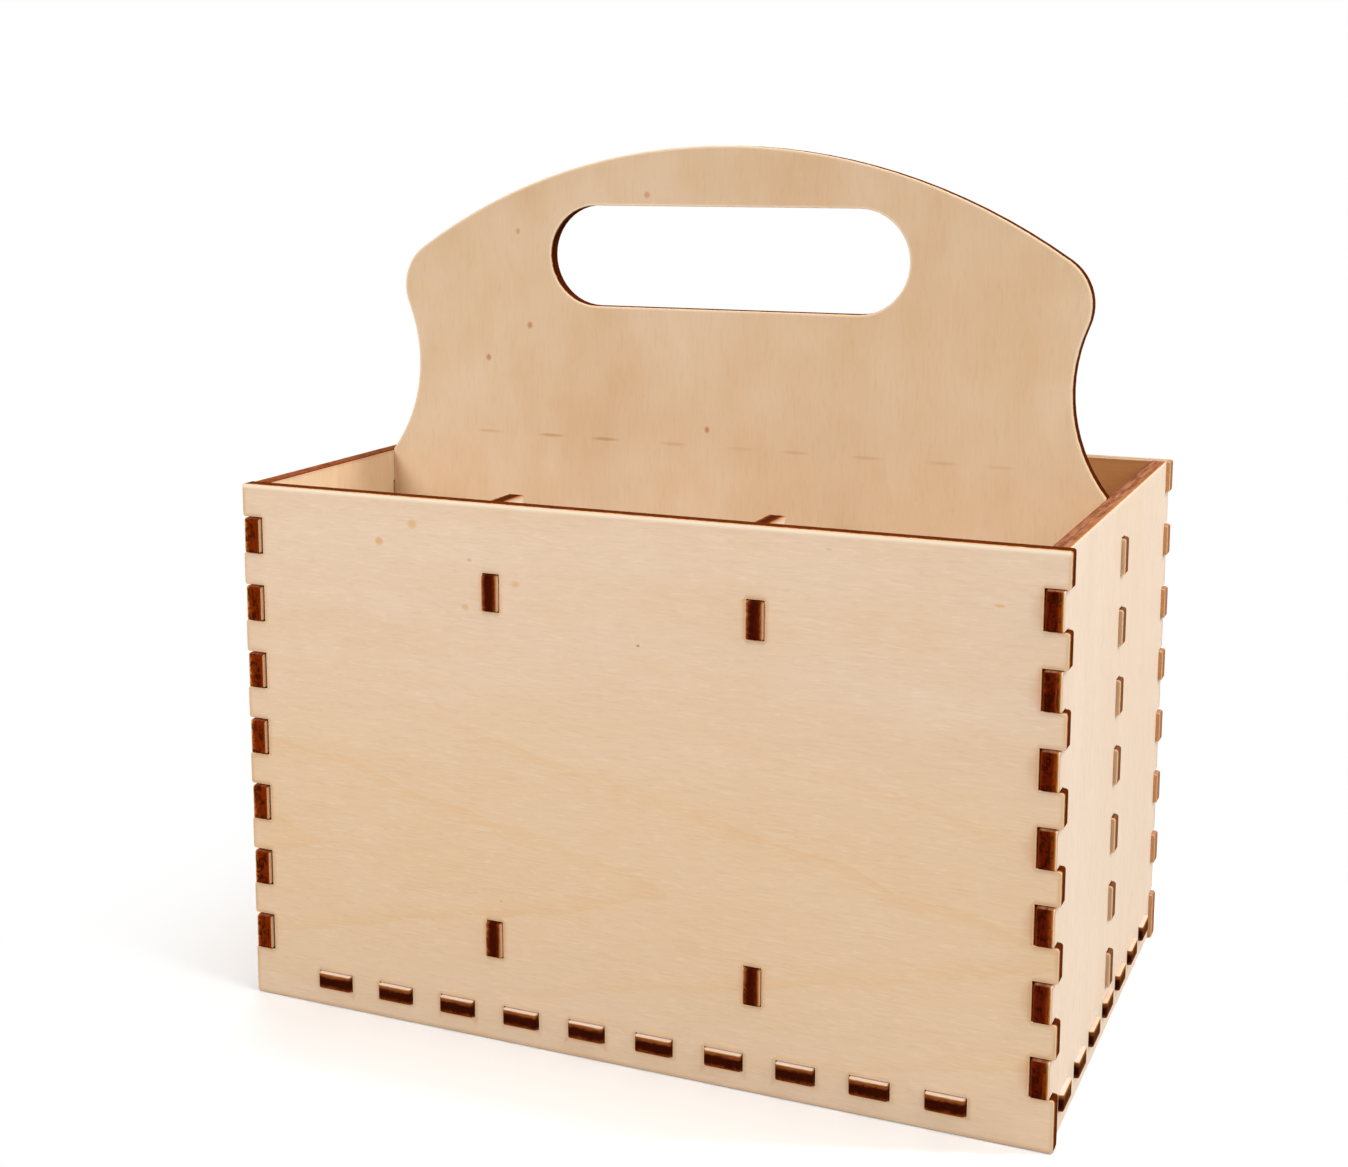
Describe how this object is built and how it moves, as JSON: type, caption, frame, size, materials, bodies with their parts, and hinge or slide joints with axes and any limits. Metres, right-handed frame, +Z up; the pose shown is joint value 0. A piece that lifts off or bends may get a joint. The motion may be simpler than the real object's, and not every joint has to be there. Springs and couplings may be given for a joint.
{
  "type": "bottle caddy",
  "caption": "Open plywood bottle caddy with finger-jointed walls, a raised floor, cross dividers and a full-height centre wall that rises into an arched carrying handle with a grip hole.",
  "frame": {"origin": "centre of the caddy's plan, on the surface that it stands on", "axes": "+X along the front from left to right, front face towards -Y, +Z up"},
  "size_m": [0.2568, 0.1668, 0.2694],
  "materials": {
    "birch_plywood": "bare sanded veneer, laser-charred cut edges"
  },
  "bodies": {
    "root": {"front_panel": "birch_plywood", "back_panel": "birch_plywood", "left_end_panel": "birch_plywood", "right_end_panel": "birch_plywood", "bottom_panel": "birch_plywood", "handle_panel": "birch_plywood", "left_divider": "birch_plywood", "right_divider": "birch_plywood"}
  },
  "joints": []
}
